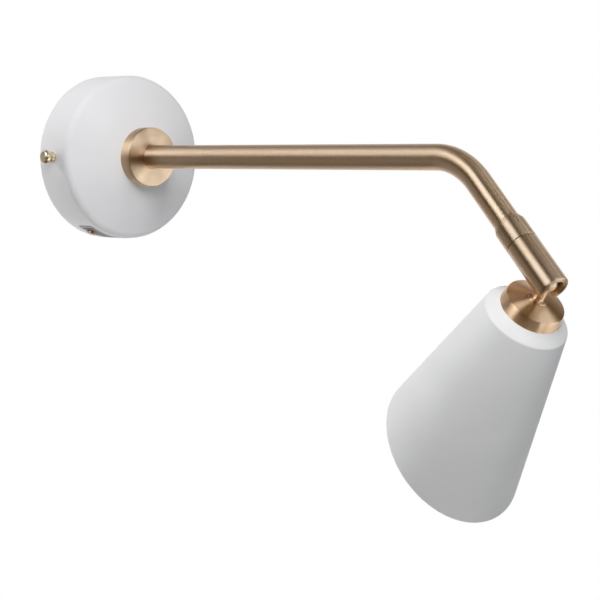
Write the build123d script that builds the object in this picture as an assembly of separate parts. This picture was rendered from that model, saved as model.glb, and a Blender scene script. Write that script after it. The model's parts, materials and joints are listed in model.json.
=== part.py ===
from build123d import *
from math import cos, radians, sin, sqrt, tan
import os

# A bedside wall reading lamp, in millimetres. +X is right as seen facing the wall, +Y goes into
# the wall and +Z is up. The origin is the centre of the canopy's back, on the wall.

# ---- driving dimensions ------------------------------------------------------------------

# canopy: the round cover on the wall
canopy_radius = 50.0
canopy_rim_depth = 28.0
canopy_wall = 1.2
canopy_edge_round = 5.0
canopy_seat_depth = 39.2

# collar at the root of the arm
collar_radius = 17.9
collar_height = 8.2
collar_crown = 0.7
collar_edge_chamfer = 0.5
collar_web = 2.2

# threaded nipple that holds the collar to the canopy
nipple_radius = 5.0
nipple_bore_radius = 3.6
nipple_inside_length = 8.5
nipple_into_tube = 3.0
lock_washer_radius = 8.5
lock_washer_thickness = 0.9
lock_washer_teeth = 12
lock_washer_notch = 1.1
nipple_nut_across_flats = 14.0
nipple_nut_height = 3.2
bush_flange_radius = 4.8
bush_flange_thickness = 0.8
bush_spigot_length = 4.0

# wall bracket behind the canopy
bracket_width = 18.0
bracket_thickness = 1.5
bracket_ear_height = 20.0
bracket_ear_width = 13.0
bracket_to_canopy = 0.35
bracket_bend_radius = 1.2
wall_slot_spacing = 60.0
wall_slot_width = 4.5
wall_slot_length = 10.0
earth_screw_radius = 2.0
earth_screw_head_radius = 3.6
earth_screw_head_height = 2.2
earth_screw_slot = 0.9
earth_washer_radius = 4.4
earth_washer_thickness = 0.9

# side screws through the canopy's rim
side_screw_depth = 14.0
side_screw_radius = 2.0
side_screw_inside = 6.0
side_ferrule_radius = 3.1
side_ferrule_height = 2.4
side_ferrule_chamfer = 0.4
side_neck_radius = 2.6
side_neck_length = 0.9
side_knob_radius = 4.2
side_knob_cone = 1.0
side_knob_thickness = 3.3
side_knob_round = 1.8

# small screw in the underside of the rim
rim_screw_angle = -112.0
rim_screw_depth = 10.0
rim_screw_radius = 1.5
rim_screw_head_radius = 2.8
rim_screw_head_height = 1.3
rim_screw_slot = 0.7
rim_screw_inside = 5.0
rim_nut_across_flats = 5.5
rim_nut_height = 2.0

# terminal block on the bracket
terminal_length = 27.0
terminal_width = 16.0
terminal_height = 12.5
terminal_pole_count = 3
terminal_pole_pitch = 8.2
terminal_pole_radius = 3.5
terminal_screw_radius = 1.4
terminal_screw_height = 2.2
terminal_screw_slot = 0.5
terminal_wire_hole_radius = 1.7

# arm
tube_radius = 7.1
tube_wall = 1.2
arm_reach = 314.5
arm_drop_angle = 45.0
arm_bend_radius = 44.0

# sleeve at the arm's end
sleeve_radius = 8.6
sleeve_start = 47.3
sleeve_taper_length = 3.3
sleeve_lip = 0.25
sleeve_end = 62.2
sleeve_web = 4.6

# swivel between the sleeve and the fork
stud_radius = 4.0
stud_bore_radius = 2.7
stud_beyond_nut = 1.2
seam_washer_radius = 8.1
seam_washer_thickness = 0.25
seam_gap = 0.05
spring_washer_radius = 5.3
spring_washer_thickness = 0.9
spring_washer_split = 0.6
spring_washer_split_angle = 30.0
swivel_nut_radius = 5.35
swivel_nut_height = 3.6
swivel_nut_slot = 1.4

# fork
fork_start_web = 5.0
fork_bore_radius = 5.75
fork_length_past_pivot = 6.9
fork_end_round = 2.6
fork_slot_past_stem = 0.4
fork_slot_reach = 7.2
fork_slot_bottom_flat = 0.6

# pivot
pivot_at = 87.9
pivot_radius = 2.0
pivot_head_radius = 3.2
pivot_head_height = 1.4
pivot_head_sunk = 0.5
pivot_head_slot = 0.8
pivot_tip_skin = 0.8
pivot_bush_radius = 3.5

# stem of the head
stem_radius = 5.3
stem_flat_thickness = 6.9
stem_flat_end = 9.2
stem_collar_radius = 7.0
stem_collar_start = 10.45
stem_collar_thickness = 0.6
stem_spigot_radius = 4.0
stem_bore_radius = 2.3
stem_bore_top = 5.4
stem_side_hole_radius = 1.7
stem_side_hole_height = 7.6

# brass cap on top of the shade
cap_top_radius = 16.0
cap_top_edge = 14.2
cap_base_radius = 17.0
cap_base = 20.6
cap_wall = 1.6
cap_edge_chamfer = 0.45

# shade
shade_wall = 1.2
shade_shoulder_radius = 23.2
shade_shoulder = 25.4
shade_shoulder_round = 1.6
shade_flare_angle = 10.87
shade_length = 120.0
shade_mouth_slant = 17.6

# lampholder and its bracket inside the shade
holder_bracket_span = 32.0
holder_bracket_height = 12.4
holder_bracket_width = 12.0
holder_bracket_thickness = 1.2
holder_bracket_gap = 11.0
spigot_washer_radius = 7.0
spigot_washer_thickness = 0.8
spigot_nut_across_flats = 12.0
spigot_nut_height = 3.0
spigot_beyond_nut = 1.2
holder_radius = 13.0
holder_height = 15.0
holder_edge_round = 1.2
holder_step = 1.4
holder_step_height = 6.75
holder_screw_spacing = 16.0
holder_screw_radius = 1.5
holder_screw_head_radius = 2.8
holder_screw_head_height = 1.8
holder_screw_slot = 0.8
holder_screw_pocket = 3.4
pin_spacing = 10.0
pin_hole_radius = 2.8
pin_hole_depth = 8.5

# lamp with two pins
pin_neck_radius = 1.3
pin_head_radius = 2.45
pin_head_height = 2.6
pin_length = 7.2
lamp_base_radius = 8.5
lamp_base_height = 11.0
lamp_body_radius = 25.0
lamp_body_height = 44.0
lamp_shoulder_width = 4.5
lamp_shoulder_rise = 2.0
lamp_rim_height = 3.0
lamp_rim_lip = 1.0
lamp_rim_flare = 8.0
lamp_wall = 1.3
lamp_lens_thickness = 1.6
lamp_lens_round = 0.5
lamp_rib_count = 20
lamp_rib_depth = 0.7
lamp_rib_from_base = 6.0
lamp_rib_from_rim = 10.0

# inner leads
lead_radius = 1.75
arm_lead_past_stud = 3.0

# how the head stands in the picture
head_turn = 4.5
head_tilt = 86.0

# fits
seat_gap = 0.02
running_gap = 0.05
free_gap = 0.35

# how far a cutting shape passes the face it cuts
overshoot = 1.0

# ---- places worked out from them ----------------------------------------------------------

wall = Plane.XZ.location
arm_drop = radians(arm_drop_angle)
leg = Plane(
    origin=(0, -arm_reach, 0),
    x_dir=(1, 0, 0),
    z_dir=(0, -cos(arm_drop), -sin(arm_drop)),
).location
swivel = leg * Rot(0, 0, head_turn)
head = swivel * Pos(0, 0, pivot_at) * Rot(head_tilt, 0, 0)

canopy_inside_radius = canopy_radius - canopy_wall
seat_inside = canopy_seat_depth - canopy_wall
lock_washer_back = seat_inside - lock_washer_thickness
nipple_nut_back = lock_washer_back - nipple_nut_height
nipple_back = canopy_seat_depth - nipple_inside_length
tube_start = canopy_seat_depth + collar_web
tube_bore_radius = tube_radius - tube_wall

ear_outside = sqrt(canopy_inside_radius ** 2 - (bracket_width / 2) ** 2) - bracket_to_canopy
terminal_front = bracket_thickness + terminal_height
wall_slot_inner_end = (wall_slot_spacing - wall_slot_length) / 2
earth_screw_offset = (terminal_length / 2 + wall_slot_inner_end) / 2

tube_end = sleeve_end - sleeve_web
fork_start = sleeve_end + seam_washer_thickness + seam_gap
fork_web_end = fork_start + fork_start_web
spring_washer_end = fork_web_end + seam_gap + spring_washer_thickness
swivel_nut_end = spring_washer_end + swivel_nut_height
stud_end = swivel_nut_end + stud_beyond_nut
fork_end = pivot_at + fork_length_past_pivot
fork_slot_width = stem_flat_thickness + 2 * fork_slot_past_stem

shade_flare = tan(radians(shade_flare_angle))
shade_plate_inside = cap_base + shade_wall
bracket_web_end = shade_plate_inside + holder_bracket_thickness
spigot_washer_end = bracket_web_end + spigot_washer_thickness
spigot_nut_end = spigot_washer_end + spigot_nut_height
spigot_end = spigot_nut_end + spigot_beyond_nut
holder_back = shade_plate_inside + holder_bracket_height
holder_face = holder_back + holder_height
lamp_back = holder_face + seat_gap
lamp_front = lamp_back + lamp_base_height + lamp_body_height
stem_collar_end = stem_collar_start + stem_collar_thickness

os.makedirs("parts", exist_ok=True)


# ---- shaping helpers ----------------------------------------------------------------------

def outline_face(*corners):
    """A closed flat face in the XZ plane from (radius, height) corners."""
    return make_face(Plane.XZ * Polyline(*corners, close=True))


def turned(*corners):
    """A piece turned about Z from (radius, height) corners."""
    return revolve(outline_face(*corners), Axis.Z)


def rod(radius, start, end):
    """A round bar along Z from one height to another."""
    return Pos(0, 0, start) * Cylinder(radius, end - start, align=(Align.CENTER, Align.CENTER, Align.MIN))


def ring(outer_radius, inner_radius, start, end):
    """A plain washer or tube along Z."""
    return rod(outer_radius, start, end) - rod(inner_radius, start - overshoot, end + overshoot)


def circle_edges(solid, radius, height):
    """The circular edges of that radius at that height on Z."""
    found = solid.edges().filter_by(GeomType.CIRCLE)
    at_height = found.filter_by(lambda edge: abs(edge.arc_center.Z - height) < 0.001)
    return at_height.filter_by(lambda edge: abs(edge.radius - radius) < 0.001)


def hexagon_nut(across_flats, bore_radius, start, height):
    """A six-sided nut along Z with its outer corners turned off."""
    corner_radius = across_flats / sqrt(3)
    bevel = corner_radius - across_flats / 2
    prism = Pos(0, 0, start) * extrude(RegularPolygon(corner_radius, 6), height)
    cone_off = turned(
        (0, start), (across_flats / 2, start), (corner_radius, start + bevel),
        (corner_radius, start + height - bevel), (across_flats / 2, start + height), (0, start + height),
    )
    return (prism & cone_off) - rod(bore_radius, start - overshoot, start + height + overshoot)


def slotted_screw(shank_radius, shank_length, head_radius, head_height, slot_width):
    """A screw pointing down -Z with its head standing on Z = 0."""
    dome = head_height / 3
    screw = rod(shank_radius, -shank_length, 0) + rod(head_radius, 0, head_height)
    screw = fillet(circle_edges(screw, head_radius, head_height), dome)
    driver_slot = Pos(0, 0, head_height) * Box(2 * head_radius + overshoot, slot_width, head_height)
    return screw - driver_slot


def save(name, shape):
    """Write one node."""
    shape.label = name
    export_step(shape, f"parts/{name}.step")


# ---- on the wall: canopy, bracket, screws and terminals -------------------------------------

def side_screw_places():
    """The two places on the rim, left and right, with Z pointing out of the rim."""
    left = Pos(-canopy_radius, 0, side_screw_depth) * Rot(0, -90, 0)
    right = Pos(canopy_radius, 0, side_screw_depth) * Rot(0, 90, 0)
    return [left, right]


def rim_screw_place():
    """The place of the small screw under the rim, with Z pointing out of the rim."""
    turn = Rot(0, 0, rim_screw_angle)
    return turn * Pos(canopy_radius, 0, rim_screw_depth) * Rot(0, 90, 0)


def make_canopy():
    slope_run = canopy_radius - collar_radius
    outside = turned(
        (0, 0), (canopy_radius, 0), (canopy_radius, canopy_rim_depth),
        (collar_radius, canopy_seat_depth), (0, canopy_seat_depth),
    )
    outside = fillet(circle_edges(outside, canopy_radius, canopy_rim_depth), canopy_edge_round)
    slope = (canopy_seat_depth - canopy_rim_depth) / slope_run
    inside_drop = canopy_wall * sqrt(1 + slope ** 2)
    inside_rim_depth = canopy_rim_depth - inside_drop + canopy_wall * slope
    inside_top_radius = collar_radius - (canopy_wall - inside_drop) / slope
    inside = turned(
        (0, -overshoot), (canopy_inside_radius, -overshoot), (canopy_inside_radius, inside_rim_depth),
        (inside_top_radius, seat_inside), (0, seat_inside),
    )
    inside_round = canopy_edge_round - canopy_wall
    inside = fillet(circle_edges(inside, canopy_inside_radius, inside_rim_depth), inside_round)
    canopy = outside - inside - rod(nipple_radius + running_gap, 0, canopy_seat_depth + overshoot)
    for place in side_screw_places():
        canopy -= place * rod(side_screw_radius + running_gap, -2 * canopy_wall, canopy_wall)
    canopy -= rim_screw_place() * rod(rim_screw_radius + running_gap, -2 * canopy_wall, canopy_wall)
    return wall * canopy


def make_wall_bracket():
    side_view = Rectangle(2 * ear_outside, bracket_ear_height, align=(Align.CENTER, Align.MIN))
    hollow = Pos(0, bracket_thickness) * Rectangle(
        2 * (ear_outside - bracket_thickness), bracket_ear_height, align=(Align.CENTER, Align.MIN)
    )
    strap = extrude(Plane.XZ * (side_view - hollow), bracket_width / 2, both=True)
    ear_trim = Box(
        3 * ear_outside, bracket_width, bracket_ear_height, align=(Align.CENTER, Align.MIN, Align.MIN)
    )
    trim_start = bracket_thickness + bracket_bend_radius
    for turn in (0, 180):
        strap -= Rot(0, 0, turn) * Pos(0, bracket_ear_width / 2, trim_start) * ear_trim
    slot = extrude(SlotOverall(wall_slot_length, wall_slot_width), bracket_thickness + 2 * overshoot)
    for side in (1, -1):
        strap -= Pos(side * wall_slot_spacing / 2, 0, -overshoot) * slot
    earth_hole = rod(earth_screw_radius + seat_gap, -overshoot, bracket_thickness + overshoot)
    strap -= Pos(-earth_screw_offset, 0, 0) * earth_hole
    for place in side_screw_places():
        strap -= place * rod(side_screw_radius + seat_gap, -canopy_radius / 4, 0)
    return wall * strap


def make_side_screws():
    neck_end = side_ferrule_height + side_neck_length
    knob_end = neck_end + side_knob_cone + side_knob_thickness
    knob = turned(
        (0, side_ferrule_height), (side_neck_radius, side_ferrule_height), (side_neck_radius, neck_end),
        (side_knob_radius, neck_end + side_knob_cone), (side_knob_radius, knob_end), (0, knob_end),
    )
    knob = fillet(circle_edges(knob, side_knob_radius, knob_end), side_knob_round)
    screw = knob + rod(side_screw_radius, -side_screw_inside, neck_end)
    return wall * Compound([place * screw for place in side_screw_places()])


def make_side_ferrules():
    flat_seat_gap = canopy_radius - sqrt(canopy_radius ** 2 - side_ferrule_radius ** 2)
    sleeve = ring(side_ferrule_radius, side_screw_radius + seat_gap, -flat_seat_gap, side_ferrule_height)
    sleeve = chamfer(circle_edges(sleeve, side_ferrule_radius, side_ferrule_height), side_ferrule_chamfer)
    rim = rod(canopy_radius, 0, canopy_rim_depth)
    return wall * Compound([place * sleeve - rim for place in side_screw_places()])


def make_rim_screw():
    flat_seat_gap = canopy_radius - sqrt(canopy_radius ** 2 - rim_screw_head_radius ** 2)
    screw = slotted_screw(
        rim_screw_radius, rim_screw_inside, rim_screw_head_radius, rim_screw_head_height, rim_screw_slot
    )
    skirt = rod(rim_screw_head_radius, -flat_seat_gap, rim_screw_head_height / 3)
    shape = wall * rim_screw_place() * (screw + skirt)
    skirt_zone = wall * ring(canopy_radius, canopy_inside_radius, 0, canopy_rim_depth)
    bore_zone = wall * rim_screw_place() * rod(rim_screw_radius, -rim_screw_inside, 0)
    return (shape - skirt_zone) + bore_zone


def make_rim_nut():
    rim_curve_drop = canopy_inside_radius - sqrt(canopy_inside_radius ** 2 - rim_nut_across_flats ** 2 / 3)
    nut_start = -canopy_wall - rim_curve_drop - rim_nut_height
    nut = hexagon_nut(rim_nut_across_flats, rim_screw_radius + seat_gap, nut_start, rim_nut_height)
    return wall * rim_screw_place() * nut


def make_earth_screw():
    length = bracket_thickness + earth_washer_thickness
    screw = slotted_screw(
        earth_screw_radius, length, earth_screw_head_radius, earth_screw_head_height, earth_screw_slot
    )
    return wall * Pos(-earth_screw_offset, 0, length) * screw


def make_earth_washer():
    washer_end = bracket_thickness + earth_washer_thickness
    washer = ring(earth_washer_radius, earth_screw_radius + seat_gap, bracket_thickness, washer_end)
    return wall * Pos(-earth_screw_offset, 0, 0) * washer


def pole_places():
    """The middle of each pole on the terminal block, seen from the front."""
    first = -(terminal_pole_count - 1) / 2 * terminal_pole_pitch
    return [first + index * terminal_pole_pitch for index in range(terminal_pole_count)]


def terminal_screw_places():
    """Two screws for each pole, one towards each side of the block."""
    return [(pole, side * terminal_width / 4) for pole in pole_places() for side in (1, -1)]


def make_terminal_block():
    base_height = terminal_height - terminal_pole_radius
    block = Pos(0, 0, bracket_thickness) * Box(
        terminal_length, terminal_width, base_height, align=(Align.CENTER, Align.CENTER, Align.MIN)
    )
    for pole in pole_places():
        middle = Pos(pole, 0, bracket_thickness + base_height) * Rot(90, 0, 0)
        block += middle * Cylinder(terminal_pole_radius, terminal_width)
    for pole in pole_places():
        middle = Pos(pole, 0, bracket_thickness + base_height - terminal_pole_radius) * Rot(90, 0, 0)
        block -= middle * Cylinder(terminal_wire_hole_radius, terminal_width + 2 * overshoot)
    screw_hole_start = terminal_front - 2 * terminal_screw_height
    screw_hole = rod(terminal_screw_radius + running_gap, screw_hole_start, terminal_front + overshoot)
    for across, along in terminal_screw_places():
        block -= Pos(across, along, 0) * screw_hole
    return wall * block


def make_terminal_screws():
    screw_top = terminal_front - terminal_screw_height / 2
    screw = rod(terminal_screw_radius, screw_top - terminal_screw_height, screw_top)
    slot_length = 2 * terminal_screw_radius + overshoot
    screw -= Pos(0, 0, screw_top) * Box(slot_length, terminal_screw_slot, 2 * terminal_screw_slot)
    return wall * Compound([Pos(across, along, 0) * screw for across, along in terminal_screw_places()])


def make_arm_collar():
    front = canopy_seat_depth + collar_height
    collar = turned(
        (0, canopy_seat_depth), (collar_radius, canopy_seat_depth), (collar_radius, front),
        (tube_radius, front + collar_crown), (0, front + collar_crown),
    )
    collar -= rod(tube_radius + seat_gap, tube_start, front + 2 * collar_crown)
    collar -= rod(nipple_radius + seat_gap, canopy_seat_depth - overshoot, tube_start + overshoot)
    collar = chamfer(circle_edges(collar, collar_radius, front), collar_edge_chamfer)
    collar = chamfer(circle_edges(collar, collar_radius, canopy_seat_depth), collar_edge_chamfer / 2)
    return wall * collar


def make_arm_nipple():
    return wall * ring(nipple_radius, nipple_bore_radius, nipple_back, tube_start + nipple_into_tube)


def make_lock_washer():
    washer = ring(lock_washer_radius, nipple_radius + seat_gap, lock_washer_back, seat_inside)
    notch = extrude(RegularPolygon(lock_washer_notch, 3), lock_washer_thickness + 2 * overshoot)
    notch = Pos(lock_washer_radius, 0, lock_washer_back - overshoot) * notch
    for index in range(lock_washer_teeth):
        washer -= Rot(0, 0, index * 360 / lock_washer_teeth) * notch
    return wall * washer


def make_nipple_nut():
    bore_radius = nipple_radius + seat_gap
    return wall * hexagon_nut(nipple_nut_across_flats, bore_radius, nipple_nut_back, nipple_nut_height)


def make_nipple_bush():
    bush = turned(
        (lead_radius + running_gap, nipple_back - bush_flange_thickness),
        (bush_flange_radius, nipple_back - bush_flange_thickness),
        (bush_flange_radius, nipple_back),
        (nipple_bore_radius - seat_gap, nipple_back),
        (nipple_bore_radius - seat_gap, nipple_back + bush_spigot_length),
        (lead_radius + running_gap, nipple_back + bush_spigot_length),
    )
    return wall * bush


# ---- arm, sleeve and swivel -----------------------------------------------------------------

def arm_route(start, end):
    """The arm's centre line from a distance off the wall to a distance down the dropped leg."""
    corner = (0, -arm_reach, 0)
    tip = (0, -arm_reach - end * cos(arm_drop), -end * sin(arm_drop))
    return FilletPolyline((0, -start, 0), corner, tip, radius=arm_bend_radius)


def make_arm_tube():
    section = Circle(tube_radius) - Circle(tube_bore_radius)
    start_plane = Plane(origin=(0, -tube_start, 0), x_dir=(1, 0, 0), z_dir=(0, -1, 0))
    return sweep(start_plane * section, path=arm_route(tube_start, tube_end))


def make_arm_lead():
    lead_start = terminal_front + free_gap
    start_plane = Plane(origin=(0, -lead_start, 0), x_dir=(1, 0, 0), z_dir=(0, -1, 0))
    route = arm_route(lead_start, stud_end + arm_lead_past_stud)
    return sweep(start_plane * Circle(lead_radius), path=route)


def make_joint_sleeve():
    sleeve = turned(
        (stud_radius + seat_gap, tube_end), (tube_radius + seat_gap, tube_end),
        (tube_radius + seat_gap, sleeve_start), (tube_radius + sleeve_lip, sleeve_start),
        (sleeve_radius, sleeve_start + sleeve_taper_length), (sleeve_radius, sleeve_end),
        (stud_radius + seat_gap, sleeve_end),
    )
    return leg * sleeve


def make_seam_washer():
    washer_end = sleeve_end + seam_washer_thickness
    return leg * ring(seam_washer_radius, stud_radius + seat_gap, sleeve_end, washer_end)


def make_swivel_stud():
    return leg * ring(stud_radius, stud_bore_radius, tube_end + seat_gap, stud_end)


def make_spring_washer():
    start = fork_web_end + seam_gap
    washer = ring(spring_washer_radius, stud_radius + seat_gap, start, start + spring_washer_thickness)
    split = Rot(0, spring_washer_split_angle, 0) * Box(stud_radius, spring_washer_split, stud_radius)
    return leg * (washer - Pos(stud_radius + overshoot, 0, start) * split)


def make_swivel_nut():
    nut = ring(swivel_nut_radius, stud_radius + seat_gap, spring_washer_end, swivel_nut_end)
    slot = Pos(0, 0, swivel_nut_end) * Box(3 * swivel_nut_radius, swivel_nut_slot, swivel_nut_slot)
    nut -= slot
    nut -= Rot(0, 0, 90) * slot
    return leg * nut


def make_swivel_fork():
    fork = rod(sleeve_radius, fork_start, fork_end)
    fork = fillet(circle_edges(fork, sleeve_radius, fork_end), fork_end_round)
    fork -= rod(stud_radius + running_gap, fork_start - overshoot, fork_web_end + overshoot)
    fork -= rod(fork_bore_radius, fork_web_end, fork_end + overshoot)
    slot_start = pivot_at - fork_slot_reach
    slot_length = fork_end + overshoot - slot_start
    slot_bottom_round = (fork_slot_width - fork_slot_bottom_flat) / 2
    slot = Pos(0, 0, slot_start) * Box(
        fork_slot_width, sleeve_radius + overshoot, slot_length, align=(Align.CENTER, Align.MAX, Align.MIN)
    )
    fork -= fillet(slot.edges().filter_by(Axis.Y).group_by(Axis.Z)[0], slot_bottom_round)
    across = Pos(0, 0, pivot_at) * Rot(0, 90, 0)
    pin_end = sleeve_radius + overshoot
    fork -= across * rod(pivot_radius + seat_gap, pivot_tip_skin - sleeve_radius, pin_end)
    head_seat = sleeve_radius - pivot_head_sunk - pivot_head_height
    fork -= across * rod(pivot_head_radius + running_gap, head_seat, pin_end)
    return swivel * fork


def make_pivot_screw():
    head_seat = sleeve_radius - pivot_head_sunk - pivot_head_height
    length = head_seat + sleeve_radius - pivot_tip_skin - running_gap
    screw = slotted_screw(pivot_radius, length, pivot_head_radius, pivot_head_height, pivot_head_slot)
    return swivel * Pos(0, 0, pivot_at) * Rot(0, 90, 0) * Pos(0, 0, head_seat) * screw


def make_pivot_bushes():
    bore_wall = sqrt(fork_bore_radius ** 2 - pivot_bush_radius ** 2)
    stem_side = stem_flat_thickness / 2 + running_gap
    bush = ring(pivot_bush_radius, pivot_radius + seat_gap, stem_side, bore_wall - seat_gap)
    across = swivel * Pos(0, 0, pivot_at)
    return Compound([across * Rot(0, side * 90, 0) * bush for side in (1, -1)])


# ---- head: stem, cap, shade, lampholder and lamp ---------------------------------------------

def make_head_stem():
    ball = CenterArc((0, 0), stem_radius, -90, 90)
    side = Polyline(
        (stem_radius, 0), (stem_radius, stem_collar_start), (stem_collar_radius, stem_collar_start),
        (stem_collar_radius, stem_collar_end), (stem_spigot_radius, stem_collar_end),
        (stem_spigot_radius, spigot_end), (0, spigot_end), (0, -stem_radius),
    )
    stem = revolve(make_face(Plane.XZ * Curve([ball, side])), Axis.Z)
    stem = chamfer(circle_edges(stem, stem_collar_radius, stem_collar_start), stem_collar_thickness / 3)
    flat_length = 2 * stem_radius + stem_flat_end
    flat_waste = Box(
        stem_radius, 4 * stem_radius, flat_length, align=(Align.MIN, Align.CENTER, Align.MIN)
    )
    for turn in (0, 180):
        stem -= Rot(0, 0, turn) * Pos(stem_flat_thickness / 2, 0, -2 * stem_radius) * flat_waste
    stem -= rod(stem_bore_radius, stem_bore_top, spigot_end + overshoot)
    side_hole = Pos(0, 0, stem_side_hole_height) * Rot(90, 0, 0)
    stem -= side_hole * rod(stem_side_hole_radius, 0, stem_radius + overshoot)
    stem -= Rot(0, 90, 0) * Cylinder(pivot_radius + running_gap, 2 * stem_flat_thickness)
    return head * stem


def cap_slope():
    """How far the cap's top falls for each millimetre outwards."""
    return (cap_top_edge - stem_collar_end) / (cap_top_radius - stem_collar_radius)


def make_shade_cap():
    cap = turned(
        (0, stem_collar_end), (stem_collar_radius, stem_collar_end), (cap_top_radius, cap_top_edge),
        (cap_base_radius, cap_base), (0, cap_base),
    )
    cap = chamfer(circle_edges(cap, cap_top_radius, cap_top_edge), cap_edge_chamfer)
    inside_top = stem_collar_end + cap_wall * sqrt(1 + cap_slope() ** 2)
    inside_radius = cap_base_radius - cap_wall
    cap -= turned(
        (0, inside_top), (stem_collar_radius, inside_top),
        (cap_top_radius - cap_wall, cap_top_edge + cap_wall),
        (inside_radius, cap_base), (inside_radius, cap_base + overshoot), (0, cap_base + overshoot),
    )
    return head * (cap - rod(stem_spigot_radius + running_gap, stem_collar_end - overshoot, cap_base))


def make_shade():
    long_end = shade_length + 2 * shade_shoulder_radius
    flared_radius = shade_shoulder_radius + (long_end - shade_shoulder) * shade_flare
    outside = turned(
        (0, cap_base), (cap_base_radius, cap_base), (shade_shoulder_radius, shade_shoulder),
        (flared_radius, long_end), (0, long_end),
    )
    outside = fillet(circle_edges(outside, shade_shoulder_radius, shade_shoulder), shade_shoulder_round)
    flare_offset = shade_wall / cos(radians(shade_flare_angle))
    slope = (shade_shoulder - cap_base) / (shade_shoulder_radius - cap_base_radius)
    slope_offset = shade_wall * sqrt(1 + slope ** 2)
    inside_plate_radius = cap_base_radius - (slope_offset - shade_wall) / slope
    inside_shoulder_radius = (
        shade_shoulder_radius - flare_offset
        + (slope_offset + slope * flare_offset) * shade_flare / (1 - slope * shade_flare)
    )
    shoulder_step = shade_shoulder_radius - inside_shoulder_radius
    inside_shoulder = shade_shoulder + slope_offset - slope * shoulder_step
    inside = turned(
        (0, shade_plate_inside), (inside_plate_radius, shade_plate_inside),
        (inside_shoulder_radius, inside_shoulder), (flared_radius - flare_offset, long_end),
        (flared_radius - flare_offset, long_end + overshoot), (0, long_end + overshoot),
    )
    shade = outside - inside
    shade -= rod(stem_spigot_radius + running_gap, cap_base - overshoot, shade_plate_inside + overshoot)
    mouth = Plane(
        origin=(0, 0, shade_length),
        x_dir=(1, 0, 0),
        z_dir=(0, -sin(radians(shade_mouth_slant)), cos(radians(shade_mouth_slant))),
    )
    waste = Box(2 * long_end, 2 * long_end, long_end, align=(Align.CENTER, Align.CENTER, Align.MIN))
    return head * (shade - mouth.location * waste)


def make_holder_bracket():
    loop = Rectangle(holder_bracket_span, holder_bracket_height)
    loop = fillet(loop.vertices(), 2 * holder_bracket_thickness)
    inside_span = holder_bracket_span - 2 * holder_bracket_thickness
    hollow = Rectangle(inside_span, holder_bracket_height - 2 * holder_bracket_thickness)
    hollow = fillet(hollow.vertices(), holder_bracket_thickness)
    gap = Pos(0, holder_bracket_height / 2) * Rectangle(holder_bracket_gap, holder_bracket_height)
    middle_height = shade_plate_inside + holder_bracket_height / 2
    middle = Plane(origin=(0, 0, middle_height), x_dir=(0, 1, 0), z_dir=(1, 0, 0))
    strip = extrude(middle * (loop - hollow - gap), holder_bracket_width / 2, both=True)
    strip -= rod(
        stem_spigot_radius + running_gap, shade_plate_inside - overshoot, bracket_web_end + overshoot
    )
    screw_hole_start = holder_back - holder_bracket_thickness - overshoot
    screw_hole = rod(holder_screw_radius + seat_gap, screw_hole_start, holder_back + overshoot)
    for side in (1, -1):
        strip -= Pos(0, side * holder_screw_spacing / 2, 0) * screw_hole
    return head * strip


def make_spigot_washer():
    bore_radius = stem_spigot_radius + seat_gap
    return head * ring(spigot_washer_radius, bore_radius, bracket_web_end, spigot_washer_end)


def make_spigot_nut():
    bore_radius = stem_spigot_radius + seat_gap
    return head * hexagon_nut(spigot_nut_across_flats, bore_radius, spigot_washer_end, spigot_nut_height)


def make_head_lead():
    return head * rod(lead_radius, stem_side_hole_height, holder_back - free_gap)


def make_lampholder():
    holder = rod(holder_radius, holder_back, holder_face)
    holder = fillet(circle_edges(holder, holder_radius, holder_face), holder_edge_round)
    foot_radius = holder_radius - holder_step
    foot_end = holder_back + holder_step_height
    holder -= ring(holder_radius + overshoot, foot_radius, holder_back - overshoot, foot_end)
    front = holder_face + overshoot
    pin_hole = rod(pin_hole_radius, holder_face - pin_hole_depth, front)
    screw_hole = rod(holder_screw_radius + running_gap, holder_back - overshoot, front)
    screw_hole += rod(holder_screw_head_radius + running_gap, holder_face - holder_screw_pocket, front)
    for side in (1, -1):
        holder -= Pos(side * pin_spacing / 2, 0, 0) * pin_hole
        holder -= Pos(0, side * holder_screw_spacing / 2, 0) * screw_hole
    return head * holder


def make_holder_screws():
    seat = holder_face - holder_screw_pocket
    length = seat - holder_back + holder_bracket_thickness
    screw = slotted_screw(
        holder_screw_radius, length, holder_screw_head_radius, holder_screw_head_height, holder_screw_slot
    )
    return head * Compound(
        [Pos(0, side * holder_screw_spacing / 2, seat) * screw for side in (1, -1)]
    )


def make_lamp_pins():
    pin_tip = lamp_back - pin_length
    pin = rod(pin_neck_radius, pin_tip, lamp_back + lamp_wall)
    pin += rod(pin_head_radius, pin_tip, pin_tip + pin_head_height)
    return head * Compound([Pos(side * pin_spacing / 2, 0, 0) * pin for side in (1, -1)])


def lamp_outline(inset):
    """The lamp body's corners, moved inwards by a wall thickness."""
    shoulder = lamp_back + lamp_base_height
    rim_start = lamp_front - lamp_rim_height
    return [
        (lamp_base_radius - inset, lamp_back + inset),
        (lamp_base_radius - inset, shoulder + inset),
        (lamp_base_radius + lamp_shoulder_width - inset, shoulder + lamp_shoulder_rise + inset),
        (lamp_body_radius - lamp_rim_lip - inset, rim_start - lamp_rim_flare),
        (lamp_body_radius - inset, rim_start),
        (lamp_body_radius - inset, lamp_front),
    ]


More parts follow.
